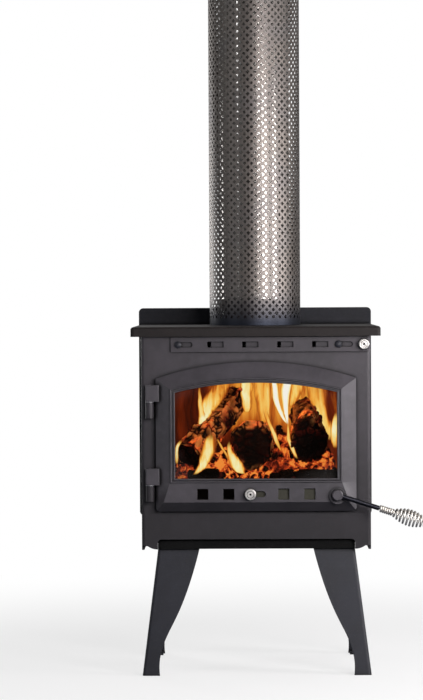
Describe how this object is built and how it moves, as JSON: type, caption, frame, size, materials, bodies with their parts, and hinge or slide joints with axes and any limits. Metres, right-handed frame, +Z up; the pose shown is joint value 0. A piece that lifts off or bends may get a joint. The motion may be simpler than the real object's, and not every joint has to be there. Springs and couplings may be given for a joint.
{
  "type": "freestanding wood heater",
  "caption": "Steel-plate wood heater on splayed legs with an arched glass door, coil-grip handle, sliding air controls and a guarded flue.",
  "frame": {"origin": "centre of the four floor fixing holes, in the plane of the feet's undersides", "axes": "+Z up; -Y is the way the door faces; +X is to the right of someone who faces the door"},
  "size_m": [0.6214, 0.4952, 1.645],
  "materials": {
    "black_paint": "satin",
    "cast_door": "satin",
    "steel": "satin",
    "stainless": "brushed",
    "firebrick": "matte",
    "stove_glass": "gloss",
    "rope": "matte",
    "burning_wood": "matte",
    "embers": "matte"
  },
  "bodies": {
    "heater": {"body_wrap": "black_paint", "rear_plate": "black_paint", "base_plate": "black_paint", "base_skirt": "black_paint", "firebox_floor": "black_paint", "top_plate": "black_paint", "rear_heat_shield": "black_paint", "shield_spacers": "black_paint", "shield_bolts": "steel", "flue_collar": "black_paint", "flue_pipe": "stainless", "flue_guard": "stainless", "guard_spacers": "steel", "floor_bricks": "firebrick", "side_bricks_left": "firebrick", "side_bricks_right": "firebrick", "rear_bricks": "firebrick", "log_retainer": "black_paint", "baffle_plate": "black_paint", "baffle_rails": "black_paint", "airwash_duct": "black_paint", "leg_front_right": "black_paint", "leg_front_left": "black_paint", "leg_rear_right": "black_paint", "leg_rear_left": "black_paint", "leg_bolts": "steel", "leg_nuts": "steel", "hinge_post_lower": "black_paint", "hinge_post_upper": "black_paint", "hinge_pins": "steel", "hinge_washers": "steel", "latch_catch": "black_paint", "strip_guide_bolts": "black_paint", "log_left": "burning_wood", "log_centre": "burning_wood", "log_right": "burning_wood", "ember_bed": "embers"},
    "door": {"door_frame": "cast_door", "door_rope_seal": "rope", "glass_gasket": "rope", "door_glass": "stove_glass", "glass_clips": "black_paint", "glass_screws": "steel", "air_guides": "black_paint"},
    "door_air": {"door_air_slider": "steel", "door_air_knob": "stainless"},
    "handle": {"handle_spindle": "stainless", "handle_rod": "stainless", "latch_finger": "black_paint", "finger_nut": "steel", "spring_grip": "stainless"},
    "top_air": {"top_air_strip": "black_paint", "top_air_knob": "stainless"}
  },
  "joints": [
    {"name": "door_hinge", "type": "hinge", "parent": "heater", "child": "door", "pos_m": [-0.2224, -0.175, 0.5], "axis": [0, 0, 1], "range_deg": [-110, 0]},
    {"name": "handle_turn", "type": "hinge", "parent": "door", "child": "handle", "pos_m": [0.1695, -0.2, 0.38], "axis": [0, -1, 0], "range_deg": [0, 75]},
    {"name": "door_air_slide", "type": "slide", "parent": "door", "child": "door_air", "axis": [1, 0, 0], "range_m": [0, 0.025]},
    {"name": "top_air_slide", "type": "slide", "parent": "heater", "child": "top_air", "axis": [-1, 0, 0], "range_m": [0, 0.025]}
  ]
}
